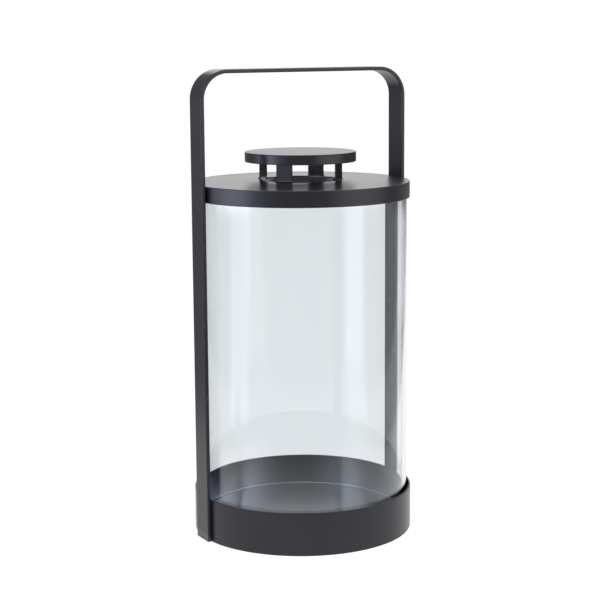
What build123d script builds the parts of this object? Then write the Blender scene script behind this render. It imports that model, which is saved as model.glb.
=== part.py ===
from build123d import *

import os

# A candle lantern: a steel tray, a loose glass cylinder that stands in it, a loose lid with a raised
# chimney cap, and a flat-bar handle whose legs run down to the foot of the tray.
# Millimetres, +Z up. The origin is on the axis of the glass, at the surface that the lantern stands on.
# The handle's legs stand at -X and +X.

# Driving dimensions: tray
base_radius = 95.0  # outside of the tray's ring
base_height = 37.0
ring_sheet = 1.5  # rolled strip
floor_sheet = 1.5
floor_top = 10.5  # upper face of the raised floor plate

# Driving dimensions: glass
glass_gap = 2.0  # all round, between the glass and the tray's ring
glass_wall = 3.0
glass_height = 292.5

# Driving dimensions: lid
lid_sheet = 1.2
lid_gap = 1.0  # all round, between the glass and the lid's rim
lid_depth = 13.8  # from the rim's lower edge to the lid's upper face
lid_seat_radius = 86.0  # outside this the lid is flat and rests on the glass
plateau_radius = 46.0  # inside this the lid is flat again, and carries the brackets
plateau_rise = 1.15  # how far the pressed middle stands above the seat
vent_radius = 34.0

# Driving dimensions: chimney cap and its brackets
cap_radius = 47.8
cap_sheet = 1.2
cap_depth = 8.4
cap_top_rise = 25.2  # cap's upper face above the lid's seat
bracket_count = 4
bracket_width = 14.6
bracket_inset = 0.4  # the web stands this far outside the vent hole
bracket_foot = 1.2  # flat length of the foot beyond the lower bend
bracket_tab = 4.5  # length of the upper tab inside the web
bracket_bend = 2.2  # inside radius of both bends
bracket_angle = 45.0  # first bracket, measured from the handle's plane
lid_turn = -6.0  # the loose lid stands turned a little from the handle's plane

# Driving dimensions: handle
handle_height = 400.0  # upper face of the bar
strap_width = 22.5
strap_thickness = 3.2
strap_corner = 21.5  # inside radius of the two bends
weld_seat = 0.1  # depth of the shallow seat in each leg where it is welded to the ring

# Small edge radii
ring_edge = 0.4
lid_edge = 0.5
glass_edge = 0.9  # fire-polished ends
strap_edge = 0.5

# Sizes that follow
glass_radius = base_radius - ring_sheet - glass_gap
glass_top = floor_top + glass_height
lid_inner_radius = glass_radius + lid_gap
lid_radius = lid_inner_radius + lid_sheet
lid_top = glass_top + lid_sheet
rim_bottom = lid_top - lid_depth
plateau_top = lid_top + plateau_rise
cap_top = lid_top + cap_top_rise
plateau_underside = plateau_top - lid_sheet
cap_underside = cap_top - cap_sheet
web_inside = vent_radius + bracket_inset
web_outside = web_inside + lid_sheet  # the brackets have the lid's sheet thickness
foot_end = web_outside + bracket_bend + bracket_foot
strap_inside = base_radius - weld_seat


def band(outer_radius, wall, bottom, top):
    # A round wall: a rectangle turned about the axis.
    profile = Pos(outer_radius - wall / 2, (bottom + top) / 2) * Rectangle(wall, top - bottom)
    return revolve(Plane.XZ * profile, Axis.Z)


def plate(radius, bottom, top):
    # A flat round plate between two heights.
    height = top - bottom
    return Pos(0, 0, bottom + height / 2) * Cylinder(radius, height)


def rings_at(solid, height):
    # The circular edges that lie at one height, smallest first.
    reach = 0.01
    circles = solid.edges().filter_by(GeomType.CIRCLE)
    return circles.filter_by_position(Axis.Z, height - reach, height + reach).sort_by(SortBy.RADIUS)


def softened(solid, height, radius):
    # Rounds every circular edge at one height.
    return fillet(rings_at(solid, height), radius)


def base_ring():
    ring = band(base_radius, ring_sheet, 0, base_height)
    ring = softened(ring, 0, ring_edge)
    return softened(ring, base_height, ring_edge)


def base_floor():
    return plate(base_radius - ring_sheet, floor_top - floor_sheet, floor_top)


def glass_cylinder():
    tube = band(glass_radius, glass_wall, floor_top, glass_top)
    tube = softened(tube, floor_top, glass_edge)
    return softened(tube, glass_top, glass_edge)


def bracket_turn(index):
    return Rot(0, 0, bracket_angle + lid_turn + index * 360 / bracket_count)


def bracket_notch(index):
    # The slot at the vent's edge that a bracket's foot fills.
    middle = (plateau_top + plateau_underside) / 2
    return bracket_turn(index) * Pos(foot_end / 2, 0, middle) * Box(foot_end, bracket_width, 2 * lid_sheet)


def lid_disc():
    # A sheet turned about the axis: flat seat, then an arc up to the flat middle round the vent hole.
    lower_seat = glass_top
    lower_plateau = plateau_underside
    upper = Line((lid_radius, lid_top), (lid_seat_radius, lid_top))
    upper += TangentArc((plateau_radius, plateau_top), (lid_seat_radius, lid_top), tangent=(1, 0))
    upper += Line((plateau_radius, plateau_top), (vent_radius, plateau_top))
    lower = Line((vent_radius, lower_plateau), (plateau_radius, lower_plateau))
    lower += TangentArc((plateau_radius, lower_plateau), (lid_seat_radius, lower_seat), tangent=(1, 0))
    lower += Line((lid_seat_radius, lower_seat), (lid_radius, lower_seat))
    inner_end = Line((vent_radius, plateau_top), (vent_radius, lower_plateau))
    outer_end = Line((lid_radius, lower_seat), (lid_radius, lid_top))
    outline = make_face(upper + inner_end + lower + outer_end)
    disc = revolve(Plane.XZ * outline, Axis.Z)
    outermost = rings_at(disc, lid_top)[-1]
    disc = fillet(outermost, lid_edge)
    for index in range(bracket_count):
        disc -= bracket_notch(index)
    return disc


def lid_rim():
    rim = band(lid_radius, lid_sheet, rim_bottom, glass_top)
    return softened(rim, rim_bottom, ring_edge)


def vent_bracket(index):
    # A strip bent to a Z: foot flush in the lid's notch, upright web, tab inwards under the cap.
    tab_end = web_inside - bracket_tab
    tab_underside = cap_underside - lid_sheet
    outer_bend = bracket_bend + lid_sheet
    corners = (
        (foot_end, plateau_underside, 0),
        (foot_end, plateau_top, 0),
        (web_outside, plateau_top, bracket_bend),
        (web_outside, cap_underside, outer_bend),
        (tab_end, cap_underside, 0),
        (tab_end, tab_underside, 0),
        (web_inside, tab_underside, bracket_bend),
        (web_inside, plateau_underside, outer_bend),
    )
    points = [(across, height) for across, height, _ in corners]
    radii = [radius for _, _, radius in corners]
    outline = make_face(FilletPolyline(*points, radius=radii, close=True))
    strip = extrude(Plane.XZ * outline, bracket_width / 2, both=True)
    return bracket_turn(index) * strip


def cap_disc():
    return softened(plate(cap_radius, cap_underside, cap_top), cap_top, lid_edge)


def cap_rim():
    bottom = cap_top - cap_depth
    rim = band(cap_radius, cap_sheet, bottom, cap_underside)
    return softened(rim, bottom, ring_edge)


def handle_strap():
    # A flat bar bent to an inverted U, with its edges eased and its legs seated against the ring.
    inside = strap_inside
    outside = strap_inside + strap_thickness
    bar_under = handle_height - strap_thickness
    outer_corner = strap_corner + strap_thickness
    corners = (
        (-outside, 0, 0),
        (-outside, handle_height, outer_corner),
        (outside, handle_height, outer_corner),
        (outside, 0, 0),
        (inside, 0, 0),
        (inside, bar_under, strap_corner),
        (-inside, bar_under, strap_corner),
        (-inside, 0, 0),
    )
    points = [(across, height) for across, height, _ in corners]
    radii = [radius for _, _, radius in corners]
    outline = make_face(FilletPolyline(*points, radius=radii, close=True))
    bar = extrude(Plane.XZ * outline, strap_width / 2, both=True)
    side_edges = bar.edges().group_by(Axis.Y)
    bar = fillet(side_edges[0] + side_edges[-1], strap_edge)
    return bar - plate(base_radius, 0, base_height)


parts = {
    "base_ring": base_ring(),
    "base_floor": base_floor(),
    "glass_cylinder": glass_cylinder(),
    "lid_disc": lid_disc(),
    "lid_rim": lid_rim(),
    "cap_disc": cap_disc(),
    "cap_rim": cap_rim(),
    "handle_strap": handle_strap(),
}
for index in range(bracket_count):
    parts[f"vent_bracket_{index + 1}"] = vent_bracket(index)

os.makedirs("parts", exist_ok=True)
for name, solid in parts.items():
    export_step(solid, f"parts/{name}.step")
    print(f"{name}: {solid.volume / 1000:.2f} cm3")
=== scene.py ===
import math

import bpy
import numpy as np
from mathutils import Matrix, Vector


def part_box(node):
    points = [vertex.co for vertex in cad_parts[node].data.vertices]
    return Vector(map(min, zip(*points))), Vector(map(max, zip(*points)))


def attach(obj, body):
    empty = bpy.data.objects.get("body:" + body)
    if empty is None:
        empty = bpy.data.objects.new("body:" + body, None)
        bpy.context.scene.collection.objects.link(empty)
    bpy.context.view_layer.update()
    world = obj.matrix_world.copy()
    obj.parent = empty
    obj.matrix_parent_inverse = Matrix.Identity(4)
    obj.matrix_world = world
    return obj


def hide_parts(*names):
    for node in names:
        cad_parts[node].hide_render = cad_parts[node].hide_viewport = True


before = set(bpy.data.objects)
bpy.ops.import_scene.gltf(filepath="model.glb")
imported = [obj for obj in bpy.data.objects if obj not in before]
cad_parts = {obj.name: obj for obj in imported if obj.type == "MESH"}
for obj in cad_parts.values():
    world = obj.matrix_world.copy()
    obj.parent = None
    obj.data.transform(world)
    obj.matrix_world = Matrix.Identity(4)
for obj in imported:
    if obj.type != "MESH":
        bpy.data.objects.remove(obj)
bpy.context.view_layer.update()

# A candle lantern in black powder-coated steel with a clear glass cylinder.
# Metres, +Z up, in the frame's own axes.

millimetre = 0.001
imageSide = 600  # pixels, both ways
scene = bpy.context.scene


# Small tools

def linear(hexColour):
    # sRGB hex to linear RGBA
    channels = np.array([int(hexColour[i:i + 2], 16) for i in (1, 3, 5)]) / 255
    low = channels / 12.92
    high = ((channels + 0.055) / 1.055) ** 2.4
    return (*np.where(channels <= 0.04045, low, high), 1.0)


def grey(value):
    return (value, value, value, 1.0)


def addNode(tree, kind, settings=None, values=None, links=None):
    # one node with its properties, its socket values and what feeds its sockets
    node = tree.nodes.new(kind)
    for key, value in (settings or {}).items():
        setattr(node, key, value)
    for key, value in (values or {}).items():
        node.inputs[key].default_value = value
    for key, source in (links or {}).items():
        tree.links.new(source, node.inputs[key])
    return node


smoothStep = {"interpolation_type": "SMOOTHSTEP"}


def ramp(start, end, low=0.0, high=1.0):
    # socket values for a change from low to high while the source goes from start to end
    return {"From Min": start, "From Max": end, "To Min": low, "To Max": high}


def lowest(node):
    # lowest corner of the node's box at rest
    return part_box(node)[0]


def highest(node):
    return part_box(node)[1]


# Outlines and surfaces

def roundedOutline(corners, arcSteps=6, hold=0.3 * millimetre, spacing=4 * millimetre, closed=True):
    # Corners (across, height, radius) in order. Each corner is an arc tangent to its two runs, and
    # each run gets a point close to either end, which keeps its shading flat, and even points between.
    points = np.array([corner[:2] for corner in corners], float)
    radii = np.array([corner[2] for corner in corners], float)
    before = np.roll(points, 1, axis=0) - points
    after = np.roll(points, -1, axis=0) - points
    before /= np.linalg.norm(before, axis=1, keepdims=True)
    after /= np.linalg.norm(after, axis=1, keepdims=True)
    halfTurn = np.arccos(np.clip((before * after).sum(1), -1, 1)) / 2
    reach = np.where(radii > 0, radii / np.tan(halfTurn), 0)
    if not closed:
        reach[[0, -1]] = 0
    pieces = []
    count = len(points)
    for i in range(count):
        entry = points[i] + before[i] * reach[i]
        leave = points[i] + after[i] * reach[i]
        if reach[i] > 0:
            inwards = (before[i] + after[i]) / np.linalg.norm(before[i] + after[i])
            centre = points[i] + inwards * radii[i] / np.sin(halfTurn[i])
            start = np.arctan2(*(entry - centre)[::-1])
            swing = np.arctan2(*(leave - centre)[::-1]) - start
            swing = (swing + np.pi) % (2 * np.pi) - np.pi
            angle = start + swing * np.linspace(0, 1, arcSteps + 1)
            pieces.append(centre + radii[i] * np.stack([np.cos(angle), np.sin(angle)], 1))
        else:
            pieces.append(points[i][None])
        if i == count - 1 and not closed:
            break
        following = (i + 1) % count
        target = points[following] + before[following] * reach[following]
        length = np.linalg.norm(target - leave)
        if length > 3 * hold:  # a shorter run needs no points of its own
            stationCount = max(2, int(np.ceil(length / spacing)) + 1)
            stations = np.linspace(hold, length - hold, stationCount) / length
            pieces.append(leave + (target - leave) * stations[:, None])
    return np.concatenate(pieces)


def gridMesh(name, grid, roundU=False, roundV=False, caps=False, poles=False):
    # A surface from a grid of points, (u, v, xyz). roundU and roundV join the last row or column to
    # the first. caps closes the first and last u rows with a fan to their middle, and poles the first
    # and last v columns.
    countU, countV = grid.shape[:2]
    index = np.arange(countU * countV).reshape(countU, countV)
    rows = np.arange(countU if roundU else countU - 1)
    columns = np.arange(countV if roundV else countV - 1)
    u, v = np.meshgrid(rows, columns, indexing="ij")
    nextU, nextV = (u + 1) % countU, (v + 1) % countV
    corners = [index[u, v], index[nextU, v], index[nextU, nextV], index[u, nextV]]
    quads = np.stack(corners, -1).reshape(-1, 4)
    points = grid.reshape(-1, 3)
    fans = []
    loops = []
    if caps:
        loops += [index[0], index[-1][::-1]]
    if poles:
        loops += [index[:, 0][::-1], index[:, -1]]
    for loop in loops:
        middle = len(points)
        points = np.concatenate([points, points[loop].mean(0, keepdims=True)])
        fans.append(np.stack([loop, np.roll(loop, -1), np.full_like(loop, middle)], -1))
    triangles = np.concatenate([quads[:, [0, 1, 2]], quads[:, [0, 2, 3]], *fans])
    a, b, c = points[triangles].transpose(1, 0, 2)
    inward = (np.cross(a, b) * c).sum() < 0  # the signed volume of a closed shape
    faces = quads.tolist() + [face for fan in fans for face in fan.tolist()]
    if inward:
        faces = [face[::-1] for face in faces]
    mesh = bpy.data.meshes.new(name)
    mesh.from_pydata(points.tolist(), [], faces)
    mesh.polygons.foreach_set("use_smooth", np.ones(len(faces), bool))
    mesh.validate()
    mesh.update()
    piece = bpy.data.objects.new(name, mesh)
    scene.collection.objects.link(piece)
    return piece


def fullTurn(segments):
    return np.linspace(0, 2 * np.pi, segments, endpoint=False)


def turned(profile, angle, widening=0):
    # A profile (radius, height) carried round the axis: x = radius cos a, y = radius sin a.
    # widening adds to the radius, for each angle and profile point.
    angle = angle[:, None]
    radius, height = profile[:, 0][None] + widening, profile[:, 1][None]
    return np.stack([radius * np.cos(angle), radius * np.sin(angle), height + 0 * angle], -1)


def bentStrip(path, section, endEase):
    # A section (across the sheet, along its width) carried along a path in one upright plane. Across
    # points along the path's normal. The section is drawn in a little at both ends, so that the cut
    # ends have eased edges.
    ahead = np.gradient(path, axis=0)
    ahead /= np.linalg.norm(ahead, axis=1, keepdims=True)
    normal = np.stack([-ahead[:, 1], ahead[:, 0]], 1)
    shrink = np.zeros(len(path))
    shrink[[0, -1]] = endEase
    half = np.abs(section).max(0)
    drawn = section[None] * (1 - shrink[:, None, None] / half)
    place = path[:, None] + normal[:, None] * drawn[..., :1]
    return np.stack([place[..., 0], drawn[..., 1], place[..., 1]], -1)


stripSteps = {"arcSteps": 5, "hold": 0.25 * millimetre, "spacing": 3 * millimetre}  # of a strip's section


def stripSection(thickness, width, edge):
    # a rectangle across the sheet with rounded corners
    corners = [(-thickness / 2, -width / 2, edge), (thickness / 2, -width / 2, edge),
               (thickness / 2, width / 2, edge), (-thickness / 2, width / 2, edge)]
    return roundedOutline(corners, **stripSteps)


def settle(piece, material, body, slot, *nodes):
    # finish, body, slot (not used) and the nodes that the piece stands for
    piece.data.materials.append(material)
    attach(piece, body)
    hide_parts(*nodes)
    print("  piece", piece.name, "on", body, "for", ", ".join(nodes))
    return piece


# Materials

def startMaterial(name):
    # a new material, its nodes, its shader and the piece's own coordinates
    material = bpy.data.materials.new(name)
    material.use_nodes = True
    tree = material.node_tree
    place = addNode(tree, "ShaderNodeTexCoord").outputs["Object"]
    return material, tree, tree.nodes["Principled BSDF"], place


powderCoat = {
    "shade": "#1d1c21", "shadeLight": "#242329", "index": 1.4,
    "roughness": (0.26, 0.32),
    # slow changes in film thickness, mm
    "cloud": 45.0, "cloudDetail": 3.0,
    # orange peel, mm, drawn about twice as coarse as it is so that it shows
    "peel": 2.2, "peelDetail": 2.0, "peelDepth": 0.0013,
    # the powder's own grain, mm
    "grain": 0.5, "grainDetail": 1.0, "grainDepth": 0.0007,
}


def blackPowderCoat():
    # Satin black polyester powder, sprayed and baked on sheet steel: near black where it faces the eye,
    # pale where it is seen at a low angle, with a faint orange peel that breaks up the edges of
    # reflections.
    look = powderCoat
    material, tree, shader, place = startMaterial("satin_black_powder_coat")
    cloud, peel, grain = (
        addNode(tree, "ShaderNodeTexNoise",
                values={"Scale": 1 / (look[size] * millimetre), "Detail": look[size + "Detail"]},
                links={"Vector": place}).outputs["Fac"]
        for size in ("cloud", "peel", "grain"))
    colour = addNode(tree, "ShaderNodeMix", {"data_type": "RGBA"},
                     {"A": linear(look["shade"]), "B": linear(look["shadeLight"])}, {"Factor": cloud})
    gloss = addNode(tree, "ShaderNodeMapRange", values=ramp(0.0, 1.0, *look["roughness"]),
                    links={"Value": cloud})
    soft = addNode(tree, "ShaderNodeBump", values={"Distance": look["peelDepth"] * millimetre},
                   links={"Height": peel})
    fine = addNode(tree, "ShaderNodeBump", values={"Distance": look["grainDepth"] * millimetre},
                   links={"Height": grain, "Normal": soft.outputs["Normal"]})
    tree.links.new(colour.outputs["Result"], shader.inputs["Base Color"])
    tree.links.new(gloss.outputs["Result"], shader.inputs["Roughness"])
    tree.links.new(fine.outputs["Normal"], shader.inputs["Normal"])
    shader.inputs["IOR"].default_value = look["index"]
    return material


drawnGlass = {
    "tint": "#eef1f3", "tintLight": "#f1f4f5", "index": 1.5, "roughness": 0.0,
    "ripple": 28.0, "rippleDetail": 1.0, "rippleDepth": 0.01,  # mm
    "stretch": 0.12,                 # scale along the tube, which draws the ripples out
    "clear": 1.0, "clearEnd": 0.65,  # share of light let through by the wall and by the ends
}


def clearDrawnGlass(name, clear):
    # Clear soda-lime tube, drawn, cut and fire-polished: a faint cool cast, and slow ripples along the
    # draw that bend what is behind it a little. Its ends are paler, with the fine scratches of the cut
    # still under the polish.
    look = drawnGlass
    material, tree, shader, place = startMaterial(name)
    along = addNode(tree, "ShaderNodeMapping", values={"Scale": (1, 1, look["stretch"])},
                    links={"Vector": place})
    ripple = addNode(tree, "ShaderNodeTexNoise",
                     values={"Scale": 1 / (look["ripple"] * millimetre), "Detail": look["rippleDetail"]},
                     links={"Vector": along.outputs["Vector"]}).outputs["Fac"]
    bend = addNode(tree, "ShaderNodeBump", values={"Distance": look["rippleDepth"] * millimetre},
                   links={"Height": ripple})
    tint = addNode(tree, "ShaderNodeMix", {"data_type": "RGBA"},
                   {"A": linear(look["tint"]), "B": linear(look["tintLight"])}, {"Factor": ripple})
    tree.links.new(tint.outputs["Result"], shader.inputs["Base Color"])
    tree.links.new(bend.outputs["Normal"], shader.inputs["Normal"])
    shader.inputs["Roughness"].default_value = look["roughness"]
    shader.inputs["IOR"].default_value = look["index"]
    shader.inputs["Transmission Weight"].default_value = clear
    return material


paint = blackPowderCoat()
glass = clearDrawnGlass("clear_drawn_glass", drawnGlass["clear"])
glassEnd = clearDrawnGlass("fire_polished_glass_end", drawnGlass["clearEnd"])
print("materials made")


# Tray: ring and floor plate

trayRing = {"sheet": 1.5, "foot": 0.3, "lip": 0.7,  # mm, foot and lip are radii of the two edges
            "segments": 320}
trayFloor = {"edge": 0.3, "innermost": 2.0, "bead": 0.8,  # mm
             "segments": 256}


def makeTrayRing():
    # A rolled strip standing on edge, eased below and with a round lip above, turned about the axis.
    outer, top, bottom = highest("base_ring").x, highest("base_ring").z, lowest("base_ring").z
    inner = outer - trayRing["sheet"] * millimetre
    foot, lip = trayRing["foot"] * millimetre, trayRing["lip"] * millimetre
    corners = [(outer, bottom, foot), (outer, top, lip), (inner, top, lip), (inner, bottom, foot)]
    grid = turned(roundedOutline(corners), fullTurn(trayRing["segments"]))
    return gridMesh("trayRing", grid, roundU=True, roundV=True)


def makeTrayFloor():
    # A round plate with a small painted-over weld bead that curves up to the ring all round.
    outer, top, bottom = highest("base_floor").x, highest("base_floor").z, lowest("base_floor").z
    bead = trayFloor["bead"] * millimetre
    inmost = trayFloor["innermost"] * millimetre
    edge = trayFloor["edge"] * millimetre
    corners = [(inmost, top, 0), (outer - bead, top, bead), (outer, top + bead, 0),
               (outer, bottom, edge), (inmost, bottom, 0)]
    grid = turned(roundedOutline(corners, closed=False), fullTurn(trayFloor["segments"]))
    return gridMesh("trayFloor", grid, roundU=True, poles=True)


settle(makeTrayRing(), paint, "tray", "black_powder_coat", "base_ring")
settle(makeTrayFloor(), paint, "tray", "black_powder_coat", "base_floor")


# Glass cylinder

glassTube = {"wall": 3.0, "polish": 1.1, "pale": 0.9,  # mm, pale is the height of the paler ends
             "arcSteps": 10, "spacing": 12.0, "segments": 384}


def makeGlassTube():
    # A wall with fire-polished ends, turned about the axis.
    part = glassTube
    outer = highest("glass_cylinder").x
    top, bottom = highest("glass_cylinder").z, lowest("glass_cylinder").z
    inner = outer - part["wall"] * millimetre
    polish = part["polish"] * millimetre
    corners = [(outer, bottom, polish), (outer, top, polish), (inner, top, polish), (inner, bottom, polish)]
    profile = roundedOutline(corners, part["arcSteps"], spacing=part["spacing"] * millimetre)
    grid = turned(profile, fullTurn(part["segments"]))
    return gridMesh("glassTube", grid, roundU=True, roundV=True)


def paleEnds(tube):
    # gives the faces close to both ends the second material
    pale = glassTube["pale"] * millimetre
    centres = np.empty(3 * len(tube.data.polygons))
    tube.data.polygons.foreach_get("center", centres)
    height = centres[2::3]
    ends = (height < lowest("glass_cylinder").z + pale) | (height > highest("glass_cylinder").z - pale)
    tube.data.materials.append(glassEnd)
    tube.data.polygons.foreach_set("material_index", ends.astype(np.int32))


paleEnds(settle(makeGlassTube(), glass, "glass", "clear_glass", "glass_cylinder"))


# Lid and chimney cap

ventBracket = {"count": 4, "turn": 39.0,  # degrees
               "web": 34.4, "sheet": 1.2, "width": 14.6, "foot": 0.6,  # mm, web is its inner face's radius
               "tab": 4.5, "bend": 2.2, "sink": 0.04, "edge": 0.3,
               "arcSteps": 8, "spacing": 2.0}
lidShell = {"sheet": 1.2, "edge": 0.6, "hem": 0.4, "seat": 86.0, "plateau": 46.0, "vent": 34.0,  # mm
            "blend": 0.06,                 # share of the rise
            "notch": 2.8, "relief": 0.4,   # mm
            "flank": 0.15,                 # degrees that a notch's side takes up
            "spacing": 1.5, "segments": 320}
capShell = {"sheet": 1.2, "edge": 0.6, "hem": 0.4, "innermost": 1.5,  # mm
            "spacing": 2.0, "segments": 256}


def makeLidShell():
    # Rim and disc in one painted skin. The middle rises by t squared, where t runs from 0 at the seat to
    # 1 at the plateau, and a smooth minimum with 1 rounds the change to the flat plateau.
    part = lidShell
    outer, seat = highest("lid_rim").x, highest("lid_rim").z
    bottom = lowest("lid_rim").z
    sheet = part["sheet"] * millimetre
    top = seat + sheet
    rise = highest("lid_disc").z - top
    vent = part["vent"] * millimetre
    edge, hem = part["edge"] * millimetre, part["hem"] * millimetre
    inner = outer - sheet
    corners = [(outer, bottom, hem), (outer, top, edge), (vent, top, hem), (vent, seat, hem),
               (inner, seat, hem), (inner, bottom, hem)]
    profile = roundedOutline(corners, spacing=part["spacing"] * millimetre)
    radius = profile[:, 0] / millimetre
    t = np.clip((part["seat"] - radius) / (part["seat"] - part["plateau"]), 0, None)
    blend = part["blend"]
    share = -blend * np.log(np.exp(-t ** 2 / blend) + np.exp(-1 / blend))
    profile[:, 1] += rise * np.clip(share, 0, None)
    angle, notch = ventNotches()
    near = np.clip((part["plateau"] - radius) / (part["plateau"] - part["vent"]), 0, 1)
    grid = turned(profile, angle, notch[:, None] * near[None])
    return gridMesh("lidShell", grid, roundU=True, roundV=True)


def ventNotches():
    # Angles round the lid, closer together at the sides of the brackets, and how far the vent's edge
    # steps back at each: by the notch's depth behind a bracket and a little relief at its sides, and
    # not at all between brackets.
    step = np.radians(lidShell["flank"])
    half = math.asin((ventBracket["width"] / 2 + lidShell["relief"]) / lidShell["vent"])
    centres = np.radians(ventBracket["turn"]) + fullTurn(ventBracket["count"])
    sides = (centres[:, None] + np.array([-half - step, -half, half, half + step])).ravel()
    angle = np.unique(np.concatenate([fullTurn(lidShell["segments"]), sides % (2 * np.pi)]))
    away = np.abs((angle[:, None] - centres + np.pi) % (2 * np.pi) - np.pi).min(1)
    return angle, lidShell["notch"] * millimetre * np.clip((half + step - away) / step, 0, 1)


def makeCapShell():
    # A flat disc with a turned-down rim, open below, turned about the axis.
    part = capShell
    outer, top = highest("cap_disc").x, highest("cap_disc").z
    bottom = lowest("cap_rim").z
    sheet = part["sheet"] * millimetre
    edge, hem = part["edge"] * millimetre, part["hem"] * millimetre
    inmost = part["innermost"] * millimetre
    corners = [(inmost, top, 0), (outer, top, edge), (outer, bottom, hem), (outer - sheet, bottom, hem),
               (outer - sheet, top - sheet, hem), (inmost, top - sheet, 0)]
    profile = roundedOutline(corners, spacing=part["spacing"] * millimetre, closed=False)
    grid = turned(profile, fullTurn(part["segments"]))
    return gridMesh("capShell", grid, roundU=True, poles=True)


settle(makeLidShell(), paint, "lid", "black_powder_coat", "lid_disc", "lid_rim")
settle(makeCapShell(), paint, "lid", "black_powder_coat", "cap_disc", "cap_rim")


# Brackets that carry the cap

def makeVentBracket(number):
    # A flat strip bent to a Z: a short foot just under the lid's surface, so that the bend comes out of
    # it without a line, then the upright web, and the tab inwards under the cap.
    part = ventBracket
    node = f"vent_bracket_{number}"
    sheet = part["sheet"] * millimetre
    middle = part["web"] * millimetre + sheet / 2
    low = lowest(node).z + sheet / 2 - part["sink"] * millimetre
    high = highest(node).z - sheet / 2
    bend = part["bend"] * millimetre + sheet / 2
    footEnd = middle + bend + part["foot"] * millimetre
    tabEnd = middle - sheet / 2 - part["tab"] * millimetre
    corners = [(footEnd, low, 0), (middle, low, bend), (middle, high, bend), (tabEnd, high, 0)]
    path = roundedOutline(corners, part["arcSteps"], spacing=part["spacing"] * millimetre, closed=False)
    edge = part["edge"] * millimetre
    grid = bentStrip(path, stripSection(sheet, part["width"] * millimetre, edge), edge)
    angle = math.radians(part["turn"] + (number - 1) * 360 / part["count"])
    spin = np.array(Matrix.Rotation(angle, 3, "Z"))
    return gridMesh(f"ventBracket{number}", grid @ spin.T, roundV=True, caps=True)


for number in range(1, ventBracket["count"] + 1):
    settle(makeVentBracket(number), paint, "lid", "black_powder_coat", f"vent_bracket_{number}")


# Carrying handle

carryStrap = {"thickness": 3.2, "corner": 21.5, "edge": 0.85,  # mm, corner is the bends' inside radius
              "arcSteps": 32, "spacing": 8.0}


def makeCarryStrap():
    # A flat bar with eased edges, bent to an inverted U.
    part = carryStrap
    low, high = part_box("handle_strap")
    thickness = part["thickness"] * millimetre
    side = high.x - thickness / 2
    bar = high.z - thickness / 2
    bend = part["corner"] * millimetre + thickness / 2
    corners = [(-side, low.z, 0), (-side, bar, bend), (side, bar, bend), (side, low.z, 0)]
    path = roundedOutline(corners, part["arcSteps"], spacing=part["spacing"] * millimetre, closed=False)
    edge = part["edge"] * millimetre
    grid = bentStrip(path, stripSection(thickness, high.y - low.y, edge), edge)
    return gridMesh("carryStrap", grid, roundV=True, caps=True)


settle(makeCarryStrap(), paint, "tray", "black_powder_coat", "handle_strap")
print("pieces made")


# Camera

photoCamera = {"azimuth": -28.325, "yaw": -0.05, "pitch": 9.488, "roll": -0.4,  # degrees
               "distance": 1.3673, "height": 0.4287,                            # metres
               "focal": 1594.9, "sensor": 36.0}  # focal length in image pixels, sensor in mm


def makeCamera():
    # Stands back from the axis at an azimuth, and looks level there but for yaw, pitch and roll.
    setup = photoCamera
    data = bpy.data.cameras.new("photoCamera")
    data.sensor_width = setup["sensor"]
    data.lens = setup["focal"] / imageSide * setup["sensor"]
    camera = bpy.data.objects.new("photoCamera", data)
    scene.collection.objects.link(camera)
    azimuth = math.radians(setup["azimuth"])
    place = Vector((math.sin(azimuth), -math.cos(azimuth), 0)) * setup["distance"]
    place.z = setup["height"]
    heading = Matrix.Rotation(azimuth - math.radians(setup["yaw"]), 4, "Z")
    tilt = Matrix.Rotation(math.radians(90 - setup["pitch"]), 4, "X")
    roll = Matrix.Rotation(math.radians(setup["roll"]), 4, "Z")
    camera.matrix_world = Matrix.Translation(place) @ heading @ tilt @ roll
    scene.camera = camera


def towards(angle):
    # horizontal unit vector, at an angle from straight behind the lantern, turned anticlockwise
    bearing = math.radians(photoCamera["azimuth"] + 90 + angle)
    return Vector((math.cos(bearing), math.sin(bearing), 0))


# Room and floor

studio = {
    "side": 0.30, "back": 1.03, "backAbove": 1.7,  # radiance at the sides, behind, and behind and above
    "backFrom": 19.0, "backTo": 12.0,              # degrees from straight behind, where the back fades in
    "aboveFrom": 3.0, "aboveTo": 18.0,             # degrees above the horizon, where it grows brighter
}
# The floor's painted light: though no lamp, it glows white in the sweep and grey beside it.
sweep = {
    "shade": "#606060", "roughness": 0.9,
    "glow": 0.97, "glowAside": 0.25,       # radiance of the white, and of the floor beside it
    "half": 0.31, "spread": 0.19,          # half width of the white in metres, and its growth with depth
    "fade": 0.14,                          # metres, its soft edge
    "frontFrom": -0.42, "frontTo": -0.22,  # metres from the axis, where it begins in front of the lantern
    "innermost": 0.02, "radius": 20.0,     # metres
    "rings": 24, "segments": 96,
}

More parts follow.
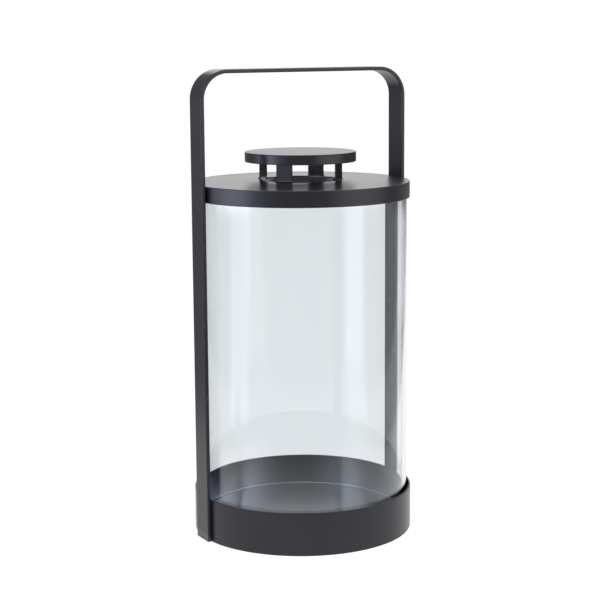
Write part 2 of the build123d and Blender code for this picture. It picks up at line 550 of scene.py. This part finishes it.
# Pools of light and shade round the lantern: degrees from straight behind, anticlockwise. On the floor
# each fades in between two distances from the axis in metres, and on the wall of the room between two
# heights, as sines. A later pool lies over an earlier one.
poolEdge = 9.0  # degrees, the soft sides of a pool
pools = (
    {"on": "floor", "from": 101.0, "to": 124.0, "fade": (0.4, 0.65), "radiance": 1.7, "colour": "#e9eeff"},
    {"on": "floor", "from": -134.0, "to": -111.0, "fade": (0.4, 0.65), "radiance": 1.25, "colour": "#fbfcff"},
    {"on": "floor", "from": 74.0, "to": 150.0, "fade": (2.4, 3.6), "radiance": 1.8, "colour": "#dfe7ff"},
    {"on": "floor", "from": 74.0, "to": 128.0, "fade": (2.4, 3.6), "radiance": 6.0, "colour": "#dae3ff"},
    {"on": "floor", "from": 94.0, "to": 124.0, "fade": (2.4, 3.6), "radiance": 10.0, "colour": "#dae3ff"},
    {"on": "floor", "from": -146.0, "to": -87.0, "fade": (2.4, 3.6), "radiance": 2.7, "colour": "#f4f6ff"},
    {"on": "floor", "from": -56.0, "to": -28.0, "fade": (0.9, 1.3), "radiance": 0.6, "colour": "#f4f6ff"},
    {"on": "floor", "from": 58.0, "to": 84.0, "fade": (3.6, 4.6), "radiance": 0.8, "colour": "#f4f6ff"},
    {"on": "floor", "from": -70.0, "to": -24.0, "fade": (2.3, 2.9), "radiance": 0.1, "colour": "#f4f6ff"},
    {"on": "wall", "from": 84.0, "to": 140.0, "fade": (0.12, 0.04), "radiance": 4.5, "colour": "#dfe7ff"},
    {"on": "wall", "from": -70.0, "to": -25.0, "fade": (0.12, 0.04), "radiance": 0.2, "colour": "#f4f6ff"},
    {"on": "wall", "from": -146.0, "to": -90.0, "fade": (0.12, 0.04), "radiance": 3.2, "colour": "#f4f6ff"},
)


def addPools(tree, light, surface, depth, aside, reach):
    # mixes each pool of a surface over its light, inside the pool's wedge and past its fade
    bearing = addNode(tree, "ShaderNodeMath", {"operation": "ARCTAN2"},
                      links={0: aside, 1: depth}).outputs["Value"]
    soft = math.radians(poolEdge) / 2
    for pool in (each for each in pools if each["on"] == surface):
        first, last = math.radians(pool["from"]), math.radians(pool["to"])
        none, full = pool["fade"]
        steps = (
            (bearing, ramp(first - soft, first + soft)),
            (bearing, ramp(last - soft, last + soft, 1.0, 0.0)),
            (reach, ramp(min(none, full), max(none, full), float(none > full), float(full > none))),
        )
        after, before, extent = (
            addNode(tree, "ShaderNodeMapRange", smoothStep, values, {"Value": source}).outputs["Result"]
            for source, values in steps)
        wedge = addNode(tree, "ShaderNodeMath", {"operation": "MULTIPLY"}, links={0: after, 1: before})
        share = addNode(tree, "ShaderNodeMath", {"operation": "MULTIPLY"},
                        links={0: wedge.outputs["Value"], 1: extent})
        lit = tuple(pool["radiance"] * channel for channel in linear(pool["colour"])[:3])
        light = addNode(tree, "ShaderNodeMix", {"data_type": "RGBA"}, {"B": (*lit, 1.0)},
                        {"Factor": share.outputs["Value"], "A": light}).outputs["Result"]
    return light


def makeWorld():
    # White behind the lantern, brighter there above, and grey at the sides and in front, with the
    # pools on the wall.
    world = bpy.data.worlds.new("studioRoom")
    scene.world = world
    world.use_nodes = True
    tree = world.node_tree
    aboveFrom, aboveTo = (math.sin(math.radians(studio[key])) for key in ("aboveFrom", "aboveTo"))
    backFrom, backTo = (math.cos(math.radians(studio[key])) for key in ("backFrom", "backTo"))
    direction = addNode(tree, "ShaderNodeTexCoord").outputs["Generated"]
    height = addNode(tree, "ShaderNodeSeparateXYZ", links={"Vector": direction}).outputs["Z"]
    flat = addNode(tree, "ShaderNodeVectorMath", {"operation": "MULTIPLY"}, {1: (1, 1, 0)}, {0: direction})
    level = addNode(tree, "ShaderNodeVectorMath", {"operation": "NORMALIZE"},
                    links={0: flat.outputs["Vector"]}).outputs["Vector"]
    depth, aside = (
        addNode(tree, "ShaderNodeVectorMath", {"operation": "DOT_PRODUCT"}, {1: towards(angle)},
                {0: level}).outputs["Value"]
        for angle in (0, 90))
    back = addNode(tree, "ShaderNodeMapRange", smoothStep,
                   ramp(aboveFrom, aboveTo, studio["back"], studio["backAbove"]), {"Value": height})
    behind = addNode(tree, "ShaderNodeMapRange", smoothStep, ramp(backFrom, backTo), {"Value": depth})
    bright = addNode(tree, "ShaderNodeMix", {"data_type": "FLOAT"}, {"A": studio["side"]},
                     {"Factor": behind.outputs["Result"], "B": back.outputs["Result"]})
    lit = addPools(tree, bright.outputs["Result"], "wall", depth, aside, height)
    tree.links.new(lit, tree.nodes["Background"].inputs["Color"])


def paintedGlowFloor():
    # Matt grey, made pale by painted light: it glows white in a sweep that starts in front of the lantern and
    # widens behind it, glows grey beside it, and has the floor's pools of light painted into the glow.
    material, tree, shader, place = startMaterial("floor_with_painted_glow")
    shader.inputs["Base Color"].default_value = linear(sweep["shade"])
    shader.inputs["Roughness"].default_value = sweep["roughness"]
    shader.inputs["Specular IOR Level"].default_value = 0.0
    shader.inputs["Emission Strength"].default_value = 1.0
    depth, aside = (
        addNode(tree, "ShaderNodeVectorMath", {"operation": "DOT_PRODUCT"}, {1: towards(angle)},
                {0: place}).outputs["Value"]
        for angle in (0, 90))
    away = addNode(tree, "ShaderNodeMath", {"operation": "ABSOLUTE"}, links={0: aside})
    growth = addNode(tree, "ShaderNodeMapRange",
                     values=ramp(0.0, sweep["radius"], 0.0, sweep["radius"] * sweep["spread"]),
                     links={"Value": depth})
    beyond = addNode(tree, "ShaderNodeMath", {"operation": "SUBTRACT"},
                     links={0: away.outputs["Value"], 1: growth.outputs["Result"]})
    across = addNode(tree, "ShaderNodeMapRange", smoothStep,
                     ramp(sweep["half"], sweep["half"] + sweep["fade"], 1.0, 0.0),
                     {"Value": beyond.outputs["Value"]})
    along = addNode(tree, "ShaderNodeMapRange", smoothStep, ramp(sweep["frontFrom"], sweep["frontTo"]),
                    {"Value": depth})
    # painted light: where the floor glows white
    white = addNode(tree, "ShaderNodeMath", {"operation": "MULTIPLY"},
                    links={0: across.outputs["Result"], 1: along.outputs["Result"]})
    glow = addNode(tree, "ShaderNodeMix", {"data_type": "RGBA"},
                   {"A": grey(sweep["glowAside"]), "B": grey(sweep["glow"])},
                   {"Factor": white.outputs["Value"]})
    radius = addNode(tree, "ShaderNodeVectorMath", {"operation": "LENGTH"}, links={0: place})
    # pools of painted light laid into the floor's glow
    lit = addPools(tree, glow.outputs["Result"], "floor", depth, aside, radius.outputs["Value"])
    tree.links.new(lit, shader.inputs["Emission Color"])
    return material


def makeFloor():
    # A wide flat disc round the axis.
    rings = np.linspace(sweep["innermost"], sweep["radius"], sweep["rings"])
    profile = np.stack([rings, 0 * rings], 1)
    floor = gridMesh("studioFloor", turned(profile, fullTurn(sweep["segments"])), roundU=True)
    floor.data.materials.append(paintedGlowFloor())


# Lights

# Upright lit areas round the lantern: degrees from straight behind, anticlockwise, then metres and
# radiance.
panels = (
    {"name": "frontFill", "angle": 180, "distance": 3.0, "width": 3.0, "low": 0.95, "high": 2.0,
     "radiance": 2.0, "colour": "#f2f5ff"},
    {"name": "leftKey", "angle": 125, "distance": 3.0, "width": 2.4, "low": 1.8, "high": 3.4,
     "radiance": 6.5, "colour": "#eef2ff"},
    {"name": "rightKey", "angle": -125, "distance": 3.0, "width": 2.4, "low": 1.8, "high": 3.4,
     "radiance": 6.5, "colour": "#eef2ff"},
)

# A ring of lit areas that are flagged off everything but the glass and the tray's floor, where they
# show mirrored as faint soft columns: from and to in degrees as above, and radiance.
trayLights = {
    "distance": 4.0, "low": 0.6, "high": 3.2, "colour": "#dfe7ff", "reach": ("glassTube", "trayFloor"),
    "spans": ((55, 96, 5.0), (96, 106, 10.0), (106, 136, 22.0), (136, 146, 8.0), (146, 158, 3.0),
              (158, 210, 1.5), (210, 226, 4.0), (226, 240, 10.0), (240, 272, 22.0), (272, 300, 15.0),
              (300, 325, 7.0)),
}
overhead = {"side": 1.2, "height": 1.7, "radiance": 1.0, "colour": "#ffffff"}  # metres


def addAreaLight(name, width, height, radiance, colour, place, aim):
    # a rectangle of even radiance, which gives power = radiance times area times pi
    data = bpy.data.lights.new(name, "AREA")
    data.shape = "RECTANGLE"
    data.size = width
    data.size_y = height
    data.energy = radiance * width * height * math.pi
    data.color = linear(colour)[:3]
    light = bpy.data.objects.new(name, data)
    scene.collection.objects.link(light)
    light.location = place
    light.rotation_euler = (aim - place).to_track_quat("-Z", "Y").to_euler()
    light.visible_camera = False
    return light


def addPanel(panel):
    # an upright lit area that faces the axis
    place = towards(panel["angle"]) * panel["distance"]
    place.z = (panel["low"] + panel["high"]) / 2
    return addAreaLight(panel["name"], panel["width"], panel["high"] - panel["low"], panel["radiance"],
                        panel["colour"], place, Vector((0, 0, place.z)))


def makeLights():
    # Upright panels that face the axis, the ring of tray lights, and one softbox overhead.
    for panel in panels:
        addPanel(panel)
    receivers = bpy.data.collections.new("trayReceivers")
    for piece in trayLights["reach"]:
        receivers.objects.link(bpy.data.objects[piece])
    for number, (first, last, radiance) in enumerate(trayLights["spans"]):
        width = 2 * trayLights["distance"] * math.tan(math.radians(last - first) / 2)
        light = addPanel({**trayLights, "name": f"trayLight{number}", "angle": (first + last) / 2,
                          "width": width, "radiance": radiance})
        light.light_linking.receiver_collection = receivers
    addAreaLight("topSoftbox", overhead["side"], overhead["side"], overhead["radiance"], overhead["colour"],
                 Vector((0, 0, overhead["height"])), Vector())


makeCamera()
makeWorld()
makeFloor()
makeLights()
scene.view_settings.view_transform = "Standard"
print("floor, light and camera made")
